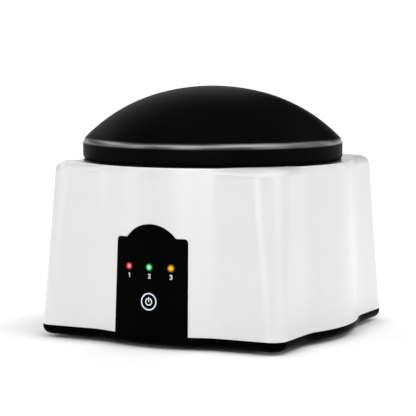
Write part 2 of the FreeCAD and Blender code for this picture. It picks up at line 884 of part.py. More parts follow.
# ---------------------------------------------------------------- collar, chamber, dish and guard
def make_collar():
    collar = turned("collar_form", [
        (collar_radius, shell_top),
        (collar_radius, collar_top),
        (collar_inner_radius, collar_top),
        (collar_inner_radius, ledge_top),
        (chamber_radius + dim.well_clearance, ledge_top),
        (chamber_radius + dim.well_clearance, collar_bottom),
        (spigot_radius, collar_bottom),
        (spigot_radius, shell_top),
    ])
    finish(at_well(collar), "collar_ring")


def make_chamber():
    floor_hole = dish_radius + dim.dish_clearance
    form = at_well(turned("chamber_form", [
        (floor_hole, dim.chamber_floor_level),
        (chamber_radius, dim.chamber_floor_level),
        (chamber_radius, ledge_top),
        (flange_radius, ledge_top),
        (flange_radius, ledge_top + dim.chamber_flange_thickness),
        (chamber_inner_radius, ledge_top + dim.chamber_flange_thickness),
        (chamber_inner_radius, chamber_floor_top),
        (floor_hole, chamber_floor_top),
    ]))
    bosses = []
    pilots = []
    for n, side in enumerate(SIDES, start=1):
        x = dim.well_offset + strap_half_span * side
        height = chamber_floor_top - strap_top
        bosses.append(cylinder("strap_boss_%d" % n, dim.strap_boss_radius, height, x, 0.0, strap_top))
        pilots.append(cylinder("strap_pilot_%d" % n, dim.strap_screw_radius, dim.strap_screw_length,
                               x, 0.0, strap_bottom))
    hole_radius = sleeve_radius + dim.port_clearance
    holes = [
        rod_back("chamber_port_%d" % n, hole_radius, port_face, x, 0.0, port_level)
        for n, x in enumerate(port_places, start=1)
    ]
    solid = fuse("chamber_and_bosses", [form] + bosses)
    finish(cut("steam_chamber", solid, fuse("cut_from_chamber", pilots + holes)), "steam_chamber")


def make_dish():
    """Pressed metal dish with a flange, its bottom edge bent round, and the gasket under the flange."""
    outer, metal, bend = dish_radius, dim.dish_wall, dim.dish_bend_radius
    rim = outer + dim.dish_flange_width
    corners = [
        (as_size(0.0), dish_bottom),
        (outer - bend, dish_bottom),
        (outer, dish_bottom + bend),
        (outer, dish_flange_level),
        (rim, dish_flange_level),
        (rim, dish_flange_top),
        (outer - metal, dish_flange_top),
        (outer - metal, dish_bottom + bend),
        (outer - bend, dish_bottom + metal),
        (as_size(0.0), dish_bottom + metal),
    ]
    finish(at_well(turned("dish_form", corners, {1: (bend, -1), 7: (bend - metal, 1)})), "heated_dish")
    gasket = turned("gasket_form", [
        (outer + dim.dish_clearance, chamber_floor_top),
        (rim, chamber_floor_top),
        (rim, dish_flange_level),
        (outer + dim.dish_clearance, dish_flange_level),
    ])
    finish(at_well(gasket), "dish_gasket")


def make_heater():
    plate = cylinder("heater_disc", heater_radius, dim.heater_thickness,
                     dim.well_offset, 0.0, heater_bottom)
    finish(plate, "heater_plate")
    mica = cylinder("mica_disc", heater_radius, dim.mica_thickness, dim.well_offset, 0.0, strap_top)
    finish(mica, "mica_sheet")

    length = (strap_half_span + dim.strap_end_margin) * 2
    bar = box("strap_bar", length, dim.strap_width, dim.strap_thickness,
              dim.well_offset, as_size(0.0), strap_bottom)
    holes = [cylinder("strap_window", dim.thermostat_radius + dim.thermostat_clearance, dim.strap_thickness,
                      dim.well_offset, 0.0, strap_bottom)]
    screws = []
    for n, side in enumerate(SIDES, start=1):
        x = dim.well_offset + strap_half_span * side
        radius = dim.strap_screw_radius + dim.well_clearance
        holes.append(cylinder("strap_hole_%d" % n, radius, dim.strap_thickness, x, 0.0, strap_bottom))
        screws.append(screw_up("strap_screw_%d" % n, dim.strap_screw_radius, dim.strap_screw_length,
                               dim.strap_head_radius, dim.strap_head_height, x, 0.0, strap_bottom))
    finish(cut("strap_form", bar, fuse("strap_holes", holes)), "heater_strap")
    finish(group("strap_screw_pair", screws), "strap_screws")


def make_thermostat():
    bottom = strap_top - dim.thermostat_height
    pieces = [cylinder("thermostat_case", dim.thermostat_radius, dim.thermostat_height,
                       dim.well_offset, 0.0, bottom)]
    for n, side in enumerate(SIDES, start=1):
        x = dim.well_offset + dim.terminal_spacing * (side / 2.0)
        tab = box("thermostat_tab_%d" % n, dim.terminal_thickness, dim.terminal_width, dim.terminal_length,
                  x, as_size(0.0), bottom - dim.terminal_length)
        pieces.append(tab)
    finish(fuse("thermostat_form", pieces), "thermostat")
    finish(box("sensor_block", dim.sensor_width, dim.sensor_length, dim.sensor_height, dim.well_offset,
               dim.sensor_inset - heater_radius, strap_top - dim.sensor_height), "temperature_sensor")


def make_guard():
    radius = chamber_inner_radius - dim.guard_clearance
    top = chamber_floor_top + dim.guard_height
    underside = top - dim.guard_plate
    body = turned("guard_form", [
        (as_size(0.0), underside),
        (radius - dim.guard_skirt, underside),
        (radius - dim.guard_skirt, chamber_floor_top),
        (radius, chamber_floor_top),
        (radius, top),
        (as_size(0.0), top),
    ])
    circles = (dim.guard_inner_circle, chamber_inner_radius - dim.guard_outer_inset)
    for (name, count), circle in zip(GUARD_HOLE_COUNTS, circles):
        sketch = new_sketch(body, "guard_%s_hole" % name, "XY_Plane", top)
        draw_circle(sketch, circle, 0.0, dim.guard_hole_radius)
        hole = pocket_through(body, "guard_%s_pocket" % name, sketch)
        ring = body.newObject("PartDesign::PolarPattern", "guard_%s_ring" % name)
        ring.Originals = [hole]
        ring.Axis = (sketch, ["N_Axis"])
        ring.Angle = 360.0
        ring.Occurrences = count
        body.Tip = ring
        doc.recompute()
    sketch = new_sketch(body, "guard_centre_hole", "XY_Plane", top)
    draw_circle(sketch, 0.0, 0.0, dim.guard_centre_hole)
    pocket_through(body, "guard_centre_pocket", sketch)
    finish(at_well(body), "dish_guard")


def make_sleeves():
    """Soft sleeves that line the finger ports, trimmed flush with the inside of the chamber."""
    for n, x in enumerate(port_places, start=1):
        tube = rod_back("sleeve_tube_%d" % n, sleeve_radius, port_face, x, 0.0, port_level)
        flange = rod_back("sleeve_flange_%d" % n, sleeve_flange_radius, dim.sleeve_flange_thickness,
                          x, port_face, port_level)
        bore = rod_back("sleeve_bore_%d" % n, port_bore_radius, port_face * 2, x, 0.0, port_level)
        inside = cylinder("sleeve_trim_%d" % n, chamber_inner_radius, shell_top, dim.well_offset)
        outer = fuse("sleeve_solid_%d" % n, [tube, flange])
        sleeve = cut("sleeve_form_%d" % n, outer, fuse("cut_from_sleeve_%d" % n, [bore, inside]))
        finish(sleeve, "finger_sleeve_%d" % n)


# ---------------------------------------------------------------- lid
def make_lid():
    """Dome of two tangent arcs with a rounded rim outside and a skirt inside, and its seal."""
    crown, reach = lid_radius * dim.lid_crown_ratio, lid_radius * dim.lid_reach_ratio
    flank, wall = lid_radius * dim.lid_flank_ratio, dim.lid_wall
    apex = shell_top + dim.lid_rise
    crown_centre = apex - crown
    steep = root(crown * crown - reach * reach) / crown
    flank_x = reach - reach * flank / crown
    flank_z = crown_centre + (crown - flank) * steep

    def flank_height(radius, arc):
        return flank_z + root(arc * arc - (radius - flank_x) * (radius - flank_x))

    rim, rounding = lid_radius, dim.lid_rim_round
    rounding_z = flank_height(rim - rounding, flank - rounding)
    share = flank / (flank - rounding)
    inner_flank, inner_crown = flank - wall, crown - wall
    inner_reach = reach * inner_crown / crown
    rim_inner = rim - dim.lid_rim_wall
    skirt = collar_inner_radius - dim.lid_skirt_gap
    skirt_inner = skirt - dim.lid_skirt_wall
    skirt_bottom = collar_top - dim.lid_skirt_drop
    corners = [
        (as_size(0.0), apex),
        (reach, crown_centre + crown * steep),
        (flank_x + (rim - rounding - flank_x) * share, flank_z + (rounding_z - flank_z) * share),
        (rim, rounding_z),
        (rim, collar_top + dim.lid_lower_round),
        (rim - dim.lid_lower_round, collar_top),
        (rim_inner, collar_top),
        (rim_inner, flank_height(rim_inner, inner_flank)),
        (skirt, flank_height(skirt, inner_flank)),
        (skirt, skirt_bottom),
        (skirt_inner, skirt_bottom),
        (skirt_inner, flank_height(skirt_inner, inner_flank)),
        (inner_reach, crown_centre + inner_crown * steep),
        (as_size(0.0), apex - wall),
    ]
    arcs = {
        0: (crown, 1), 1: (flank, 1), 2: (rounding, 1), 4: (dim.lid_lower_round, 1),
        7: (inner_flank, -1), 11: (inner_flank, -1), 12: (inner_crown, -1),
    }
    finish(at_well(turned("lid_form", corners, arcs)), "lid_dome")
    seal = turned("seal_form", [
        (skirt, collar_top),
        (skirt + dim.seal_width, collar_top),
        (skirt + dim.seal_width, collar_top + dim.seal_height),
        (skirt, collar_top + dim.seal_height),
    ])
    finish(at_well(seal), "lid_seal")


# ---------------------------------------------------------------- control panel and board
def make_panel():
    band = bay_band("lens_band", -dim.panel_proud, dim.panel_thickness)
    lens = common("lens_form", band, panel_outline("lens_outline", as_size(0.0)))
    ahead = -dim.panel_thickness
    holes = [in_panel(rod("lens_button_hole", dim.button_radius + dim.button_gap, board_front), 0.0, ahead)]
    for colour, x in light_places:
        hole = rod("lens_light_hole_" + colour, dim.light_pipe_radius, board_front)
        holes.append(in_panel(hole, x, ahead, light_rise))
    finish(cut("panel_lens", lens, fuse("cut_from_lens", holes)), "control_panel")

    for colour, x in light_places:
        depth = light_setback(x) - dim.panel_proud
        pipe = rod("pipe_" + colour, dim.light_pipe_radius, led_front - dim.led_gap - depth)
        finish(in_panel(pipe, x, depth, light_rise), "light_pipe_" + colour)
        led = block_in_panel("chip_" + colour, dim.led_width, dim.led_height, dim.led_length,
                             x, led_front, light_rise)
        finish(led, "indicator_led_" + colour)


def make_button():
    cap = rod("button_cap", dim.button_radius, flange_front + dim.button_proud)
    in_panel(cap, 0.0, -dim.button_proud)
    flange = rod("button_flange", dim.button_flange_radius, dim.button_flange_thickness)
    in_panel(flange, 0.0, flange_front)
    stem = rod("button_stem", dim.button_stem_radius, dim.plunger_depth - flange_front)
    in_panel(stem, 0.0, flange_front)
    finish(fuse("button_form", [cap, flange, stem]), "power_button")

    case = block_in_panel("switch_block", dim.switch_side, dim.switch_height, dim.switch_side,
                          as_size(0.0), switch_front, as_size(0.0))
    bore = rod("switch_bore", dim.plunger_radius + dim.plunger_clearance, dim.plunger_length)
    finish(cut("switch_form", case, in_panel(bore, 0.0, switch_front)), "switch_body")
    finish(in_panel(rod("plunger_rod", dim.plunger_radius, dim.plunger_length), 0.0, dim.plunger_depth),
           "switch_plunger")


def make_board():
    plate = block_in_panel("board_plate", dim.board_width, dim.board_thickness, dim.board_height,
                           as_size(0.0), board_front, board_rise)
    holes = []
    screws = []
    for n, (x, rise) in enumerate(post_places, start=1):
        hole = rod("board_hole_%d" % n, dim.board_screw_radius + dim.well_clearance, dim.board_thickness)
        holes.append(in_panel(hole, x, board_front, rise))
        head = rod("board_head_%d" % n, dim.board_head_radius, dim.board_head_height)
        in_panel(head, x, board_rear, rise)
        shank = rod("board_shank_%d" % n, dim.board_screw_radius, dim.board_screw_length)
        in_panel(shank, x, board_rear - dim.board_screw_length, rise)
        screws.append(fuse("board_screw_%d" % n, [head, shank]))
    finish(cut("board_form", plate, fuse("board_holes", holes)), "control_board")
    finish(group("board_screw_set", screws), "board_screws")

    lower = dim.relay_width / 2 - dim.board_drop + dim.relay_edge_gap
    finish(block_in_panel("chip_block", dim.chip_side, dim.chip_height, dim.chip_side,
                          as_size(0.0), board_rear, dim.chip_rise), "microcontroller")
    finish(block_in_panel("relay_block", dim.relay_length, dim.relay_height, dim.relay_width,
                          dim.relay_shift, board_rear, lower), "heater_relay")
    finish(block_in_panel("connector_block", dim.connector_length, dim.connector_height, dim.connector_width,
                          dim.connector_shift, board_rear, lower), "board_connector")
    return lower


# ---------------------------------------------------------------- supply inlet
def make_inlet():
    seat = dim.inlet_seat_depth
    mouth = seat - dim.inlet_flange_thickness
    flange = rod("inlet_flange", dim.inlet_flange_radius, dim.inlet_flange_thickness)
    in_inlet(flange, mouth)
    thread = in_inlet(rod("inlet_thread", dim.inlet_thread_radius, dim.inlet_length), seat)
    bore = rod("inlet_bore", dim.inlet_bore_radius, dim.inlet_bore_depth)
    in_inlet(bore, mouth)
    finish(cut("inlet_form", fuse("inlet_solid", [flange, thread]), bore), "supply_inlet")

    pin = rod("inlet_pin_rod", dim.inlet_pin_radius, dim.inlet_bore_depth - dim.inlet_pin_setback)
    finish(in_inlet(pin, mouth + dim.inlet_pin_setback), "inlet_pin")

    hexagon = doc.addObject("Part::Prism", "nut_hexagon")
    hexagon.Polygon = 6
    bind(hexagon, Circumradius=dim.inlet_nut_width / math.sqrt(3.0), Height=dim.inlet_nut_thickness)
    nut_depth = dim.shell_wall + dim.inlet_nut_gap
    in_inlet(hexagon, nut_depth)
    hole = in_inlet(rod("nut_hole", dim.inlet_thread_radius, dim.inlet_nut_thickness), nut_depth)
    finish(cut("nut_form", hexagon, hole), "inlet_nut")


# ---------------------------------------------------------------- wiring
def wire(name, points):
    """Round wire along straight runs joined by tangent arcs."""
    radius = dim.wire_radius.value
    edges = []
    last = points[0]
    for before, corner, after in zip(points, points[1:], points[2:]):
        inward, outward = (corner - before).normalize(), (after - corner).normalize()
        turn = inward.getAngle(outward)
        trim = WIRE_BEND_SHARE * min(before.distanceToPoint(corner), corner.distanceToPoint(after))
        bend = trim / math.tan(turn / 2.0)
        first, final = corner - inward * trim, corner + outward * trim
        towards = (outward - inward).normalize()
        middle = corner + towards * (bend / math.cos(turn / 2.0) - bend)
        edges.append(Part.LineSegment(last, first).toShape())
        edges.append(Part.Arc(first, middle, final).toShape())
        last = final
    edges.append(Part.LineSegment(last, points[-1]).toShape())
    ring = Part.Wire(Part.Circle(points[0], points[1] - points[0], radius).toShape())
    feature = doc.addObject("Part::Feature", name)
    feature.Shape = Part.Wire(edges).makePipeShell([ring], True, False)
    feature.Placement = Placement()
    return feature


def make_leads(connector_rise):
    """Two leads from the inlet to the board's connector, and two from there to the heater."""
    run_out, lane, low = dim.wire_run_out.value, dim.wire_lane.value, dim.wire_level.value
    tail = (dim.inlet_seat_depth + dim.inlet_length).value
    socket = (board_rear + dim.connector_height).value
    rise = connector_rise.value
    quarter = dim.connector_length.value / 4.0
    edge_y = -heater_radius.value + dim.heater_lead_embed.value
    heater_z = (heater_bottom + dim.heater_thickness / 2).value
    supply = []
    heater = []
    for n, side in enumerate(SIDES, start=1):
        shift = side * dim.wire_spacing.value / 2.0
        start = inlet_frame.multVec(Vector(shift, -tail, 0))
        start_run = inlet_frame.multVec(Vector(shift, -tail - run_out, 0))
        centre = dim.connector_shift.value + quarter + shift
        end_run = panel_frame.multVec(Vector(centre, socket + run_out, rise))
        end = panel_frame.multVec(Vector(centre, socket, rise))
        supply.append(wire("supply_lead_%d" % n, [
            start,
            start_run,
            Vector(start_run.x + run_out, start_run.y - run_out, low),
            Vector(lane + shift, lane, low),
            Vector(lane + shift, -lane, low),
            Vector(end_run.x, end_run.y + run_out, low),
            end_run,
            end,
        ]))
        centre = dim.connector_shift.value - quarter + shift
        end_run = panel_frame.multVec(Vector(centre, socket + run_out, rise))
        end = panel_frame.multVec(Vector(centre, socket, rise))
        x = dim.well_offset.value + shift
        heater.append(wire("heater_lead_%d" % n, [
            Vector(x, edge_y, heater_z),
            Vector(x, edge_y - run_out, heater_z),
            end_run,
            end,
        ]))
    finish(group("supply_lead_pair", supply), "supply_leads")
    finish(group("heater_lead_pair", heater), "heater_leads")


for build in (
    make_upper_shell, make_base_tray, make_feet, make_base_screws, make_collar, make_chamber, make_dish,
    make_heater, make_thermostat, make_guard, make_sleeves, make_lid, make_panel, make_button, make_inlet,
):
    build()
make_leads(make_board())
doc.recompute()

# ---------------------------------------------------------------- checks and export
for item in doc.Objects:
    faults = [state for state in item.State if state in ("Invalid", "Error")]
    if faults:
        raise RuntimeError("%s failed: %s" % (item.Label, item.State))
for node in nodes:
    if node.Shape.isNull() or not node.Shape.isValid() or not node.Shape.Solids:
        raise RuntimeError("%s has no valid solid" % node.Label)

os.makedirs("parts", exist_ok=True)
for node in nodes:
    node.Shape.exportStep(os.path.join("parts", node.Label + ".step"))
    extent = node.Shape.BoundBox
    print("%-22s solids %d  volume %10.1f  z %7.2f to %7.2f" % (
        node.Label, len(node.Shape.Solids), node.Shape.Volume, extent.ZMin, extent.ZMax))
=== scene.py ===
"""Looks of the gel polish remover machine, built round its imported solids. Lengths are in metres."""

import json
import math

import bpy
import numpy as np
from mathutils import Matrix, Vector


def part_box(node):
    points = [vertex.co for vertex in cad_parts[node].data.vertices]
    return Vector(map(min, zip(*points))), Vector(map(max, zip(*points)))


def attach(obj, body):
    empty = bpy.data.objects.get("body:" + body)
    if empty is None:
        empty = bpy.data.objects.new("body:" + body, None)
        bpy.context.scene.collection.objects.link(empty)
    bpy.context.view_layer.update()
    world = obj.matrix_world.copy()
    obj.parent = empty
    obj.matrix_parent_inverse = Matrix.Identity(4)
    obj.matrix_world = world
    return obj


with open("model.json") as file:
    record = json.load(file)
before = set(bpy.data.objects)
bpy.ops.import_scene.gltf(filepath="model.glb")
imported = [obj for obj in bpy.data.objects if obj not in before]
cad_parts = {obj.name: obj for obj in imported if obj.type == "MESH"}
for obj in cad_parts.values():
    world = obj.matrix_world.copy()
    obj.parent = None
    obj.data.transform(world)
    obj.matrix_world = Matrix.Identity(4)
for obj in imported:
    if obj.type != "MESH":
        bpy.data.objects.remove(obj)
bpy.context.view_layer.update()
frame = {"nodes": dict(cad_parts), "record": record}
MM = 0.001

# ------------------------------------------------------------------ places on the solids
LEAN = math.radians(2.44)          # draft by which the front bay and its button lean back
RISE = 0.2 * MM                    # height of the button's print and the lenses over their boxes' middles
SPLIT_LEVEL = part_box("control_panel")[0].z
PANEL_RADIUS = -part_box("control_panel")[0].y + 0.01 * MM       # of the bay at that level, plus a hair
BUTTON_LEVEL = (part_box("power_button")[0].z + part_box("power_button")[1].z) / 2 + RISE
WELL = (-2 * MM, 0.0)              # vertical axis of the well, dish and lid


# ------------------------------------------------------------------ shader maths
class Signal:
    """A socket of a finish. Arithmetic on it adds Math nodes, with numbers or other signals."""

    def __init__(self, finish, socket):
        self.finish = finish
        self.socket = socket

    def maths(self, operation, *others):
        """A Math node on this signal and, where the operation takes them, others."""
        inputs = dict(enumerate((self, *others)))
        return self.finish.node("ShaderNodeMath", {"operation": operation}, inputs)

    def __add__(self, other):
        return self.maths("ADD", other)

    def __sub__(self, other):
        return self.maths("SUBTRACT", other)

    def __rsub__(self, other):
        return self.finish.node("ShaderNodeMath", {"operation": "SUBTRACT"}, {0: other, 1: self})

    def __mul__(self, other):
        return self.maths("MULTIPLY", other)

    def __truediv__(self, other):
        return self.maths("DIVIDE", other)

    def __pow__(self, other):
        return self.maths("POWER", other)

    __radd__ = __add__

    def step(self, start, end):
        """Smooth change from 0 at start to 1 at end."""
        inputs = {0: self, 1: start, 2: end, 3: 0.0, 4: 1.0}
        return self.finish.node("ShaderNodeMapRange", {"interpolation_type": "SMOOTHSTEP"}, inputs)


class Finish:
    """A material with one principled shader and the nodes that feed it."""

    def __init__(self, name, **sockets):
        self.material = bpy.data.materials.new(name)
        self.material.use_nodes = True
        self.tree = self.material.node_tree
        self.shader = self.tree.nodes["Principled BSDF"]
        for socket, value in sockets.items():
            self.set(socket.replace("_", " "), value)

    def set(self, socket, value):
        """Give a socket of the shader a value or a link."""
        if isinstance(value, Signal):
            self.tree.links.new(value.socket, self.shader.inputs[socket])
        else:
            self.shader.inputs[socket].default_value = value

    def node(self, kind, settings=None, inputs=None, output=0):
        """One node: its settings first, then the values or links of its sockets."""
        made = self.tree.nodes.new(kind)
        for key, value in (settings or {}).items():
            setattr(made, key, value)
        for key, value in (inputs or {}).items():
            if isinstance(value, Signal):
                self.tree.links.new(value.socket, made.inputs[key])
            else:
                made.inputs[key].default_value = value
        return Signal(self, made.outputs[output])

    def place(self, centre=(0.0, 0.0, 0.0), stretch=(1.0, 1.0, 1.0)):
        """Object coordinates, moved so that a centre lies at zero, then stretched."""
        coordinates = self.node("ShaderNodeTexCoord", output=3)
        moved = self.node("ShaderNodeVectorMath", {"operation": "SUBTRACT"}, {0: coordinates, 1: centre})
        return self.node("ShaderNodeVectorMath", {"operation": "MULTIPLY"}, {0: moved, 1: stretch})

    def axes(self, centre=(0.0, 0.0, 0.0)):
        """The three object coordinates, counted from a centre."""
        place = self.place(centre)
        return [self.node("ShaderNodeSeparateXYZ", None, {0: place}, n) for n in range(3)]

    def noise(self, size, detail=2.0, rough=0.5, stretch=(1.0, 1.0, 1.0)):
        """Noise between 0 and 1 whose lumps are about a size across, in metres."""
        inputs = {"Vector": self.place(stretch=stretch), "Scale": 1.0 / size, "Detail": detail,
                  "Roughness": rough}
        return self.node("ShaderNodeTexNoise", None, inputs)

    def mix(self, share, first, second):
        """Colour between two colours: the first where the share is 0, the second where it is 1."""
        first = (*first, 1.0) if isinstance(first, tuple) else first
        second = (*second, 1.0) if isinstance(second, tuple) else second
        return self.node("ShaderNodeMix", {"data_type": "RGBA"}, {0: share, 6: first, 7: second}, 2)

    def soft_edges(self, radius):
        """Normal of the surface with its edges rounded by a radius."""
        return self.node("ShaderNodeBevel", {"samples": 6}, {"Radius": radius})

    def relief(self, height, depth, edge_radius=None):
        """Bump of a given depth in metres, over softened edges where a radius is given."""
        inputs = {"Height": height, "Distance": depth, "Strength": 1.0}
        if edge_radius:
            inputs["Normal"] = self.soft_edges(edge_radius)
        self.set("Normal", self.node("ShaderNodeBump", None, inputs))

    def edge_wear_and_highlight(self, radius):
        """Mask that rises towards 1 on the edges, where the rounded normal leaves the true one. It paints
        the edges paler, as a little wear and, on the white plastic, as a painted highlight.
        """
        true = self.node("ShaderNodeNewGeometry", output=1)
        soft = self.soft_edges(radius)
        agree = self.node("ShaderNodeVectorMath", {"operation": "DOT_PRODUCT"}, {0: true, 1: soft}, 1)
        return (1.0 - agree).step(0.0, 0.25)


EDGE_WEAR_AND_HIGHLIGHT_RADIUS = 0.5 * MM              # reach of the paler edges of moulded plastic: edge wear, and a painted highlight on the white


def moulded(name, colour, second, roughness, spread, grain, depth, edge=0.25 * MM, wear_and_highlight_share=0.25, **sockets):
    """Moulded plastic: fine grain, faint flow clouds in colour and gloss, and paler edges, partly a little
    wear and partly a painted highlight.

    The grain has a size and a depth of relief, edge is the rounding that the relief lies on, and the
    last number is the share of the paler colour on the edges, which is wear and, where high, a painted
    highlight.
    """
    finish = Finish(name, **sockets)
    clouds = finish.noise(22 * MM, 3.0)
    fine = finish.noise(grain, 2.0, 0.6)
    waves = finish.noise(6 * MM, 1.0)
    worn_and_highlit = finish.edge_wear_and_highlight(EDGE_WEAR_AND_HIGHLIGHT_RADIUS)
    tone = finish.mix(clouds.step(0.3, 0.7), colour, second)
    paler = tuple(min(1.0, c * 1.25 + 0.01) for c in colour)
    # the edges are painted paler: a little wear, and where the share is high, as on the white plastic, a
    # painted highlight
    finish.set("Base Color", finish.mix(worn_and_highlit * wear_and_highlight_share, tone, paler))
    finish.set("Roughness", roughness + (fine - 0.5) * spread + (clouds - 0.5) * spread - worn_and_highlit * 0.06)
    finish.relief(fine * 0.6 + waves * 0.4, depth, edge)
    return finish


def rubbery(name, colour, roughness):
    """Soft moulded rubber or silicone: dull, with a dusty bloom and a fine matt grain."""
    finish = Finish(name, Specular_IOR_Level=0.3, Sheen_Weight=0.15, Sheen_Roughness=0.4)
    dust = finish.noise(7 * MM, 4.0, 0.6)
    grain = finish.noise(0.35 * MM, 2.0, 0.6)
    lighter = tuple(min(1.0, c * 1.35 + 0.01) for c in colour)
    finish.set("Base Color", finish.mix(dust.step(0.45, 0.8), colour, lighter))
    finish.set("Roughness", roughness + (dust - 0.5) * 0.15)
    finish.relief(grain, 0.04 * MM, 0.3 * MM)
    return finish


def brushed(name, colour, roughness, stretch=(1.0, 1.0, 1.0), rings_about=None):
    """Metal with fine drawn lines, which a stretched noise gives, or turned rings about a vertical axis."""
    finish = Finish(name, Metallic=1.0)
    if rings_about is None:
        lines = finish.noise(1.2 * MM, 4.0, 0.7, stretch)
    else:
        across, along, _ = finish.axes((*rings_about, 0.0))
        radius = (across * across + along * along) ** 0.5
        turned = finish.node("ShaderNodeTexNoise", {"noise_dimensions": "1D"},
                             {"W": radius, "Scale": 2600.0, "Detail": 3.0})
        lines = turned * 0.7 + finish.noise(3 * MM, 3.0) * 0.3
    stains = finish.noise(9 * MM, 3.0)
    darker = tuple(c * 0.82 for c in colour)
    finish.set("Base Color", finish.mix(stains.step(0.4, 0.75), colour, darker))
    finish.set("Roughness", roughness + (lines - 0.5) * 0.22 + (stains - 0.5) * 0.08)
    finish.relief(lines, 0.012 * MM, 0.2 * MM)
    return finish


PAD_PITCH = 2.54 * MM              # pitch of the board's pads, across and up


def board_finish():
    """Green solder mask over copper tracks: lanes on a grid, and tinned pads at a regular pitch.

    A pad lies where |sin(pi x / pitch) sin(pi z / pitch)| comes near 1.
    """
    finish = Finish("board_green", Coat_Weight=0.3, Coat_Roughness=0.2)
    across, _, up = finish.axes((0.0, 0.0, BUTTON_LEVEL))
    lane = finish.node("ShaderNodeTexBrick", {"offset": 0.5, "offset_frequency": 2}, {
        "Vector": finish.place(stretch=(1.0, 0.0, 1.0)), "Color1": (0, 0, 0, 1), "Color2": (1, 1, 1, 1),
        "Mortar": (1, 1, 1, 1), "Scale": 260.0, "Mortar Size": 0.03, "Brick Width": 1.4,
        "Row Height": 0.35})
    grid_x = (across * (math.pi / PAD_PITCH)).maths("SINE")
    grid_z = (up * (math.pi / PAD_PITCH)).maths("SINE")
    pad = (grid_x * grid_z).maths("ABSOLUTE").step(0.93, 0.97)
    weave = finish.noise(0.5 * MM, 2.0)
    mask_green = finish.mix(lane, (0.012, 0.10, 0.045), (0.02, 0.20, 0.08))
    finish.set("Base Color", finish.mix(pad, mask_green, (0.62, 0.60, 0.55)))
    finish.set("Metallic", pad)
    finish.set("Roughness", 0.35 + (weave - 0.5) * 0.15 - pad * 0.1)
    finish.relief(pad * 0.6 + weave * 0.2, 0.05 * MM, 0.15 * MM)
    return finish


def layered(name, colour, second, scale, roughness):
    """Mica or fired clay: flakes and speckles through the body of the sheet."""
    finish = Finish(name)
    flakes = finish.node("ShaderNodeTexVoronoi", None, {"Vector": finish.place(), "Scale": 1.0 / scale})
    cloud = finish.noise(scale * 6, 4.0)
    finish.set("Base Color", finish.mix((flakes + cloud * 0.5).step(0.2, 0.9), colour, second))
    finish.set("Roughness", roughness + (cloud - 0.5) * 0.2)
    finish.relief(flakes * 0.4 + cloud * 0.6, 0.06 * MM, 0.2 * MM)
    return finish


def glow(name, centre, middle, ring, rim):
    """A lit lens: pale in the middle, saturated round it and fading towards its edge.

    Its colours follow the distance from the centre, reach, in millimetres.
    """
    finish = Finish(name, Roughness=0.12, Specular_IOR_Level=0.04, Emission_Strength=1.0)
    across, _, up = finish.axes(centre)
    frost = finish.noise(0.5 * MM, 2.0)
    reach = (across * across + up * up) ** 0.5 / MM + (frost - 0.5) * 0.1
    tint = finish.mix(reach.step(0.05, 1.05), middle, ring)
    tint = finish.mix(reach.step(0.85, 1.45), tint, rim)
    finish.set("Emission Color", finish.mix(reach.step(1.2, 2.0), tint, (0.001, 0.001, 0.001)))
    finish.set("Base Color", finish.mix(frost, tuple(c * 0.02 for c in rim), tuple(c * 0.03 for c in rim)))
    finish.relief(frost, 0.01 * MM)
    return finish


def lit_die(name, colour):
    """Tinted epoxy of a small lamp, clear at its edge and glowing in the middle."""
    finish = Finish(name, Roughness=0.2, Coat_Weight=0.4, Emission_Strength=0.8)
    cloud = finish.noise(0.6 * MM, 2.0)
    finish.set("Base Color", finish.mix(cloud, colour, tuple(c * 0.6 for c in colour)))
    finish.set("Emission Color", finish.mix(cloud.step(0.3, 0.8), colour, tuple(c * 0.4 for c in colour)))
    finish.relief(cloud, 0.02 * MM, 0.1 * MM)
    return finish


def clear_acrylic(name):
    """Clear moulded acrylic with a frosted haze in fine streaks."""
    finish = Finish(name, Transmission_Weight=0.85, IOR=1.49)
    haze = finish.noise(0.8 * MM, 3.0, 0.5, (1.0, 0.1, 1.0))
    finish.set("Base Color", finish.mix(haze, (0.95, 0.96, 0.97), (0.86, 0.88, 0.90)))
    finish.set("Roughness", 0.1 + haze * 0.2)
    finish.relief(haze, 0.02 * MM, 0.15 * MM)
    return finish


def printed(name, colour, strength):
    """Screen print: opaque ink with a fine mesh edge and slightly uneven cover, which glows faintly in its
    own colour: painted light, since print is no lamp.
    """
    finish = Finish(name, Specular_IOR_Level=0.3, Emission_Strength=strength)
    cover = finish.noise(0.3 * MM, 2.0)
    ink = finish.mix(cover.step(0.2, 0.9), colour, tuple(c * 0.88 for c in colour))
    finish.set("Base Color", ink)
    finish.set("Emission Color", ink)
    finish.set("Roughness", 0.45 + (cover - 0.5) * 0.2)
    finish.relief(cover, 0.01 * MM)
    return finish


RIM_POLISH_STARTS = (98.0 * MM, 99.4 * MM)       # levels between which the rim's polish rises
RIM_POLISH_ENDS = (100.0 * MM, 101.6 * MM)       # levels between which it falls again


def lid_finish():
    """Satin black dome with a polished band on the rounding of its rim."""
    finish = moulded("lid_black", (0.0030, 0.0030, 0.0032), (0.0024, 0.0024, 0.0026), 0.38, 0.06,
                     0.25 * MM, 0.008 * MM, 0.3 * MM, Specular_IOR_Level=0.005, Coat_IOR=2.4,
                     Coat_Roughness=0.3)
    _, _, level = finish.axes()
    finish.set("Coat Weight", level.step(*RIM_POLISH_STARTS) * (1.0 - level.step(*RIM_POLISH_ENDS)))
    return finish


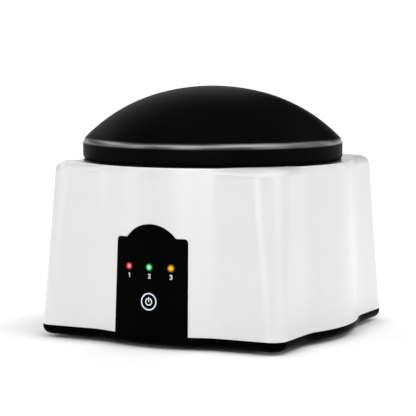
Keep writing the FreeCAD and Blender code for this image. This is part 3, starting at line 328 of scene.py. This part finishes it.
FINISHES = {
    # on the white plastic the paler edges (share 0.9) are a painted highlight
    "white_gloss_plastic": moulded("white_gloss_plastic", (0.715, 0.715, 0.72), (0.70, 0.70, 0.705), 0.30,
                                   0.04, 0.6 * MM, 0.008 * MM, 0.35 * MM, 0.9, Specular_IOR_Level=1.0),
    "black_gloss_plastic": moulded("black_gloss_plastic", (0.0014, 0.0014, 0.0016), (0.001, 0.001, 0.0012),
                                   0.22, 0.05, 0.5 * MM, 0.006 * MM, 0.3 * MM, 0.1,
                                   Specular_IOR_Level=0.004),
    "black_satin_plastic": moulded("black_satin_plastic", (0.0035, 0.0035, 0.0037), (0.003, 0.003, 0.003),
                                   0.33, 0.06, 0.25 * MM, 0.010 * MM, 0.3 * MM, Specular_IOR_Level=0.05),
    "lid_dome": lid_finish(),
    "black_matte_plastic": moulded("black_matte_plastic", (0.02, 0.02, 0.02), (0.026, 0.026, 0.026), 0.55,
                                   0.1, 0.3 * MM, 0.03 * MM),
    "grey_matte_plastic": moulded("grey_matte_plastic", (0.30, 0.30, 0.31), (0.34, 0.34, 0.35), 0.5, 0.1,
                                  0.3 * MM, 0.03 * MM),
    "chamber_plastic": moulded("chamber_plastic", (0.70, 0.70, 0.68), (0.64, 0.64, 0.62), 0.45, 0.1,
                               0.4 * MM, 0.03 * MM),
    "relay_blue": moulded("relay_blue", (0.02, 0.07, 0.28), (0.025, 0.085, 0.32), 0.3, 0.08,
                          0.3 * MM, 0.02 * MM),
    "black_rubber": rubbery("black_rubber", (0.02, 0.02, 0.02), 0.75),
    "grey_silicone": rubbery("grey_silicone", (0.24, 0.24, 0.25), 0.6),
    "wire_insulation": rubbery("wire_insulation", (0.30, 0.02, 0.02), 0.5),
    "dish_aluminium": brushed("dish_aluminium", (0.80, 0.80, 0.82), 0.26, rings_about=WELL),
    "steel": brushed("steel", (0.55, 0.55, 0.57), 0.32, (1.0, 14.0, 1.0)),
    "brass": brushed("brass", (0.72, 0.52, 0.22), 0.24, (8.0, 1.0, 8.0)),
    "ceramic": layered("ceramic", (0.80, 0.77, 0.70), (0.72, 0.69, 0.62), 1.2 * MM, 0.55),
    "mica": layered("mica", (0.50, 0.40, 0.26), (0.36, 0.28, 0.17), 2.5 * MM, 0.4),
    "board_green": board_finish(),
    "clear_light_pipe": clear_acrylic("clear_light_pipe"),
    "led_red": lit_die("led_red", (0.85, 0.05, 0.06)),
    "led_green": lit_die("led_green", (0.05, 0.75, 0.25)),
    "led_amber": lit_die("led_amber", (0.9, 0.42, 0.02)),
}


# ------------------------------------------------------------------ surfaces
TURN_COLUMNS = 96                  # points round the button's ring, the floor and the backdrop
LENS_COLUMNS = 48                  # points round a lens
SECTION_COLUMNS = 12               # points round the section of a line of print


def full_turn(columns):
    """Equal angles round a full turn, the last one short of the first by a step."""
    return np.linspace(0.0, 2 * math.pi, columns, endpoint=False)


def surface(name, points, faces, finish):
    """Smooth object whose mesh is made of whole arrays of points, in metres, and of faces."""
    mesh = bpy.data.meshes.new(name)
    mesh.from_pydata(points.tolist(), [], faces if isinstance(faces, list) else faces.tolist())
    mesh.polygons.foreach_set("use_smooth", np.full(len(mesh.polygons), True))
    mesh.materials.append(finish.material)
    mesh.validate()
    mesh.update()
    piece = bpy.data.objects.new(name, mesh)
    bpy.context.scene.collection.objects.link(piece)
    return piece


def grid_faces(rows, columns, close_rows=False):
    """Four-sided faces of a grid of points whose rows are closed rings, joined end to end where asked."""
    row = np.arange(rows if close_rows else rows - 1)[:, None]
    column = np.arange(columns)[None, :]
    next_row, next_column = (row + 1) % rows, (column + 1) % columns
    quads = [row * columns + column, row * columns + next_column,
             next_row * columns + next_column, next_row * columns + column]
    return np.stack([np.broadcast_to(q, (row.size, column.size)) for q in quads], -1).reshape(-1, 4)


def closed_faces(rows, columns):
    """Faces of rings of points between a first and a last point, wound so that they face outward."""
    rings = (grid_faces(rows, columns) + 1).tolist()
    column = np.arange(columns)
    after = (column + 1) % columns
    top = np.stack([after + 1, column + 1, 0 * column], -1)
    last = 1 + (rows - 1) * columns
    bottom = np.stack([column + last, after + last, 0 * column + last + columns], -1)
    return rings + top.tolist() + bottom.tolist()


def on_panel(across, rise, height):
    """Points over the front bay: across and up from its button, and a height out of its surface.

    The bay is a cone about the machine's axis, so at a level z its surface lies at
    y = -sqrt(r^2 - across^2) with r = r0 - (z - z0) tan(lean) + height.
    """
    level = BUTTON_LEVEL + rise * math.cos(LEAN)
    radius = PANEL_RADIUS - (level - SPLIT_LEVEL) * math.tan(LEAN) + height
    return np.stack([across, -np.sqrt(radius ** 2 - across ** 2), level], -1)


def on_button(across, rise, height):
    """Points over the flat face of the button, which leans with the bay and stands 0.1 mm out of it.

    The face passes through y = -start at the button's level, and a point on it lies at
    y = -start + rise sin(lean) - height cos(lean), z = level + rise cos(lean) + height sin(lean).
    """
    start = PANEL_RADIUS - (BUTTON_LEVEL - SPLIT_LEVEL) * math.tan(LEAN) + 0.1 * MM
    depth = -start + rise * math.sin(LEAN) - height * math.cos(LEAN)
    level = BUTTON_LEVEL + rise * math.cos(LEAN) + height * math.sin(LEAN)
    return np.stack([across, depth, level], -1)


def stroke(name, path, width, height, place, finish):
    """Rounded line of raised print along a flat path of (across, rise) points.

    Its section is an ellipse, width wide, that reaches height above the surface and as far below it.
    Past both ends the section shrinks by cos(t) while it moves on by sin(t) half widths, which closes it.
    """
    path = np.asarray(path)
    along = np.gradient(path, axis=0)
    along /= np.linalg.norm(along, axis=1, keepdims=True)
    t = np.linspace(0.0, math.pi / 2, 6)[1:-1]
    size = np.concatenate([np.cos(t[::-1]), np.ones(len(path)), np.cos(t)])
    before = path[0] - along[0] * np.sin(t[::-1])[:, None] * width / 2
    after = path[-1] + along[-1] * np.sin(t)[:, None] * width / 2
    centre = np.concatenate([before, path, after])
    heading = np.concatenate([np.tile(along[0], (len(t), 1)), along, np.tile(along[-1], (len(t), 1))])
    angle = full_turn(SECTION_COLUMNS)
    side = np.cos(angle)[None, :] * size[:, None] * width / 2
    lift = -np.sin(angle)[None, :] * size[:, None] * height
    across = centre[:, None, 0] + side * heading[:, None, 1]
    rise = centre[:, None, 1] - side * heading[:, None, 0]
    rings = place(across, rise, lift)
    tips = np.stack([path[0] - along[0] * width / 2, path[-1] + along[-1] * width / 2])
    tips = place(tips[:, 0], tips[:, 1], np.zeros(2))
    points = np.concatenate([tips[:1], rings.reshape(-1, 3), tips[1:]])
    return surface(name, points, closed_faces(len(centre), len(angle)), finish)


def ring_print(name, radius, width, height, place, finish):
    """Closed ring of raised print, with the section of a stroke turned about the centre.

    Its reach from the centre is radius + cos(a) width / 2 and its height sin(a) height, over all angles a.
    """
    turn = full_turn(TURN_COLUMNS)[:, None]
    angle = full_turn(SECTION_COLUMNS)[None, :]
    reach = radius + np.cos(angle) * width / 2
    points = place(reach * np.sin(turn), reach * np.cos(turn), np.sin(angle) * height + 0.0 * turn)
    return surface(name, points.reshape(-1, 3), grid_faces(TURN_COLUMNS, SECTION_COLUMNS, True), finish)


def lens(name, across, level, radius, height, finish):
    """Domed lens: its front is a cap whose height falls with the radius as sqrt(1 - (r / R)^2).

    Behind the surface it narrows to 0.96 and then 0.6 of its radius, on a flat back 0.4 heights deep.
    """
    slope = np.linspace(0.0, math.pi / 2, 13)[1:]
    reach = np.concatenate([np.sin(slope), [0.96, 0.6]]) * radius
    lift = np.concatenate([np.cos(slope), [-0.4, -0.4]]) * height
    turn = full_turn(LENS_COLUMNS)[None, :]
    rise = level - BUTTON_LEVEL
    rings = on_panel(across + reach[:, None] * np.sin(turn), rise + reach[:, None] * np.cos(turn),
                     lift[:, None] + 0.0 * turn)
    tips = on_panel(np.full(2, across), np.full(2, rise), np.array([1.0, -0.4]) * height)
    points = np.concatenate([tips[:1], rings.reshape(-1, 3), tips[1:]])
    return surface(name, points, closed_faces(len(reach), LENS_COLUMNS), finish)


# ------------------------------------------------------------------ print and lenses of the panel
PRINT_HEIGHT = 0.05 * MM           # of the power sign and its ring
RING_RADIUS, RING_WIDTH = 4.0 * MM, 0.62 * MM
ARC_RADIUS, ARC_WIDTH = 1.65 * MM, 0.56 * MM
BAR_WIDTH = 0.54 * MM
ARC_TURN = np.radians(np.linspace(28, 332, 60))              # open at its top, where the bar stands
BAR_RISE = np.linspace(0.1, 2.1, 8) * MM
ARC_PATH = np.stack([np.sin(ARC_TURN), np.cos(ARC_TURN)], -1) * ARC_RADIUS
BAR_PATH = np.stack([np.zeros(8), BAR_RISE], -1)

# the ink of the power sign and its ring glows at 0.12 and 0.14: painted light
ring_ink = printed("ring_print", (0.80, 0.84, 0.93), 0.12)
sign_ink = printed("sign_print", (0.84, 0.87, 0.94), 0.14)
ring = ring_print("power_ring", RING_RADIUS, RING_WIDTH, PRINT_HEIGHT, on_button, ring_ink)
arc = stroke("power_arc", ARC_PATH, ARC_WIDTH, PRINT_HEIGHT, on_button, sign_ink)
bar = stroke("power_bar", BAR_PATH, BAR_WIDTH, PRINT_HEIGHT, on_button, sign_ink)
for piece in (ring, arc, bar):
    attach(piece, "button")

LENS_RADIUS, LENS_HEIGHT = 2.3 * MM, 0.5 * MM
LIGHTS = {                         # colours of a lens: its middle, the ring round it and the rim
    "red": ((0.97, 0.50, 0.37), (0.98, 0.125, 0.155), (0.55, 0.014, 0.036)),
    "green": ((0.60, 1.0, 0.80), (0.138, 0.95, 0.445), (0.006, 0.40, 0.08)),
    "amber": ((0.97, 0.76, 0.055), (0.93, 0.45, 0.005), (0.50, 0.19, 0.002)),
}


def light_place(colour):
    """Middle of a light pipe's box seen from the front, raised as the print is."""
    low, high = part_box("light_pipe_" + colour)
    return (low.x + high.x) / 2, 0.0, (low.z + high.z) / 2 + RISE


for colour, shades in LIGHTS.items():
    place = light_place(colour)
    lit = glow("lens_" + colour, place, *shades)
    piece = lens("lens_" + colour, place[0], place[2], LENS_RADIUS, LENS_HEIGHT, lit)
    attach(piece, "housing")

NUMERAL_WIDTH, NUMERAL_HEIGHT = 0.42 * MM, 0.03 * MM         # of the line and of its relief
NUMERAL_RISE = light_place("amber")[2] - 4.4 * MM - BUTTON_LEVEL
NUMERALS = {                       # place across and corners of the line, in millimetres
    "one": (-11.6, [(-0.35, 0.55), (0.1, 1.0), (0.1, -1.0)]),
    "two": (0.0, [(-0.55, 0.6), (-0.35, 0.92), (0.0, 1.02), (0.38, 0.9), (0.55, 0.55), (0.4, 0.15),
                  (-0.55, -1.0), (0.6, -1.0)]),
    "three": (11.6, [(-0.55, 0.78), (-0.2, 1.02), (0.25, 0.98), (0.5, 0.6), (0.3, 0.15), (-0.1, 0.05),
                     (0.35, -0.05), (0.55, -0.45), (0.3, -0.92), (-0.2, -1.02), (-0.58, -0.75)]),
}
# the numerals' ink glows at 0.12: painted light
numeral_ink = printed("numeral_print", (0.74, 0.74, 0.74), 0.12)
for numeral, (across, corners) in NUMERALS.items():
    corners = np.array(corners) * MM + [across * MM, NUMERAL_RISE]
    knots = np.arange(len(corners))
    finer = np.linspace(0, len(corners) - 1, 8 * len(corners) + 1)
    path = np.stack([np.interp(finer, knots, corners[:, n]) for n in range(2)], -1)
    piece = stroke("numeral_" + numeral, path, NUMERAL_WIDTH, NUMERAL_HEIGHT, on_panel, numeral_ink)
    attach(piece, "housing")

# ------------------------------------------------------------------ finishes of the solids
SLOT_OF = {part["node"]: part["material_slot"] for part in frame["record"]["subparts"]}
for node_name, node in frame["nodes"].items():
    node_finish = FINISHES.get(node_name, FINISHES[SLOT_OF[node_name]])
    for material_slot in node.material_slots:
        material_slot.material = node_finish.material

# ------------------------------------------------------------------ floor and backdrop
def seen_white(finish, brightness):
    """Give a finish a glow that only camera, glossy and transmission rays see."""
    direct, glossy, through = [finish.node("ShaderNodeLightPath", output=n) for n in (0, 3, 6)]
    finish.set("Emission Color", brightness)
    finish.set("Emission Strength", direct.maths("MAXIMUM", glossy).maths("MAXIMUM", through))


FLOOR_RADII = np.array([0.001, 0.5, 2.0, 8.0, 30.0])
BACKDROP_RADIUS, BACKDROP_HEIGHT = 29.9, 5.0
SHADE_CENTRE = (0.02, -0.04, 0.0)  # the floor takes shadows about this point and glows white further out
SHADE_EDGE = (0.09, 0.24)          # distances from it between which the glow rises
CONTACT_EDGE = (0.060, 0.086)      # half widths of the rounded square under the machine that stays dark
CONTACT_GLOW = (0.12, 0.12, 0.12)  # faint glow round that square

floor_finish = Finish("pale_floor", Roughness=0.9, Specular_IOR_Level=0.0)
paper = floor_finish.noise(0.4, 3.0)
floor_finish.set("Base Color", floor_finish.mix(paper, (0.93, 0.93, 0.93), (0.94, 0.94, 0.94)))
out_x, out_y, _ = floor_finish.axes()
out_square = (out_x ** 4 + out_y ** 4) ** 0.25
aside_x, aside_y, _ = floor_finish.axes(SHADE_CENTRE)
aside = (aside_x * aside_x + aside_y * aside_y) ** 0.5
near_glow = floor_finish.mix(out_square.step(*CONTACT_EDGE), (0.0, 0.0, 0.0), CONTACT_GLOW)
seen_white(floor_finish, floor_finish.mix(aside.step(*SHADE_EDGE), near_glow, (1.0, 1.0, 1.0)))

wall_finish = Finish("pale_backdrop", Roughness=0.9, Specular_IOR_Level=0.0)
wall_tone = wall_finish.noise(2.0)
wall_finish.set("Base Color", wall_finish.mix(wall_tone, (0.85, 0.85, 0.85), (0.86, 0.86, 0.86)))
seen_white(wall_finish, (1.0, 1.0, 1.0, 1.0))

all_round = full_turn(TURN_COLUMNS)
circle = np.stack([np.cos(all_round), np.sin(all_round), 0.0 * all_round], -1)
floor_points = (FLOOR_RADII[:, None, None] * circle).reshape(-1, 3)
wall_foot = BACKDROP_RADIUS * circle
wall_points = np.concatenate([wall_foot, wall_foot + [0.0, 0.0, BACKDROP_HEIGHT]])
backdrop = surface("backdrop", wall_points, grid_faces(2, TURN_COLUMNS), wall_finish)
floor = surface("floor", floor_points, grid_faces(len(FLOOR_RADII), TURN_COLUMNS), floor_finish)

# ------------------------------------------------------------------ lamps and world
scene = bpy.context.scene
LAMP_DISTANCE = 1.5
LAMP_AIM = Vector((0.0, 0.0, 0.06))
LAMPS = [                          # name, azimuth and elevation in degrees, width, height, watts
    ("lamp_front", 2, 20, 0.5, 1.1, 4.6),
    ("lamp_front_left", -46, 20, 0.4, 1.1, 3.1),
    ("lamp_left", -72, 20, 0.6, 1.1, 1.8),
    ("lamp_right", 80, 20, 0.8, 1.1, 4.0),
    ("lamp_far_right", 120, 20, 0.6, 1.1, 1.4),
    ("lamp_high_far_right", 130, 45, 1.6, 0.35, 2.6),
    ("lamp_back_right", 152, 20, 0.4, 1.1, 1.6),
    ("lamp_high_right", 70, 56, 1.0, 0.8, 7.8),
    ("lamp_high_front", 4, 46, 1.7, 0.35, 6.8),
    ("lamp_high_left", -96, 32, 1.2, 0.35, 2.8),
    ("lamp_back_left", -140, 30, 1.0, 0.9, 3.3),
]
WORLD_LIGHT = 0.08                 # strength of the white world as a light; the camera sees it at 1


def lamp(name, azimuth, elevation, width, height, strength):
    """Area lamp that faces the machine; azimuth 0 stands in front of it, 90 on its right."""
    data = bpy.data.lights.new(name, "AREA")
    data.shape = "RECTANGLE"
    data.size, data.size_y = width, height
    data.energy = strength
    holder = bpy.data.objects.new(name, data)
    scene.collection.objects.link(holder)
    a, e = math.radians(azimuth), math.radians(elevation)
    outward = Vector((math.sin(a) * math.cos(e), -math.cos(a) * math.cos(e), math.sin(e)))
    holder.location = LAMP_AIM + outward * LAMP_DISTANCE
    holder.rotation_euler = (-outward).to_track_quat("-Z", "Y").to_euler()


for settings in LAMPS:
    lamp(*settings)

world = bpy.data.worlds.new("studio")
world.use_nodes = True
scene.world = world
background = world.node_tree.nodes["Background"]
background.inputs["Color"].default_value = (1.0, 1.0, 1.0, 1.0)
light_path = world.node_tree.nodes.new("ShaderNodeLightPath")
brightness = world.node_tree.nodes.new("ShaderNodeMath")
brightness.operation = "MULTIPLY_ADD"
brightness.inputs[1].default_value = 1.0 - WORLD_LIGHT
brightness.inputs[2].default_value = WORLD_LIGHT
world.node_tree.links.new(light_path.outputs["Is Camera Ray"], brightness.inputs[0])
world.node_tree.links.new(brightness.outputs[0], background.inputs["Strength"])

# ------------------------------------------------------------------ camera
SENSOR_WIDTH = 36.0                # millimetres
FOCAL_LENGTH = 1812.37 / 416       # in widths of the frame
CAMERA_AZIMUTH = 0.4609            # radians, from the front towards the right
CAMERA_DISTANCE = 0.95024          # from the well's axis, over the floor
CAMERA_HEIGHT = 0.15321
PAN, PITCH, ROLL = 0.0026, 0.0941, 0.0012        # radians off a level look at the axis; pitch is down

camera_data = bpy.data.cameras.new("camera")
camera_data.sensor_width = SENSOR_WIDTH
camera_data.lens = SENSOR_WIDTH * FOCAL_LENGTH
camera = bpy.data.objects.new("camera", camera_data)
scene.collection.objects.link(camera)
camera.location = (WELL[0] + CAMERA_DISTANCE * math.sin(CAMERA_AZIMUTH),
                   WELL[1] - CAMERA_DISTANCE * math.cos(CAMERA_AZIMUTH), CAMERA_HEIGHT)
aim = (Matrix.Rotation(CAMERA_AZIMUTH + PAN, 4, "Z") @ Matrix.Rotation(math.pi / 2 - PITCH, 4, "X")
       @ Matrix.Rotation(ROLL, 4, "Z"))
camera.rotation_euler = aim.to_euler()
scene.camera = camera
scene.view_settings.view_transform = "Standard"
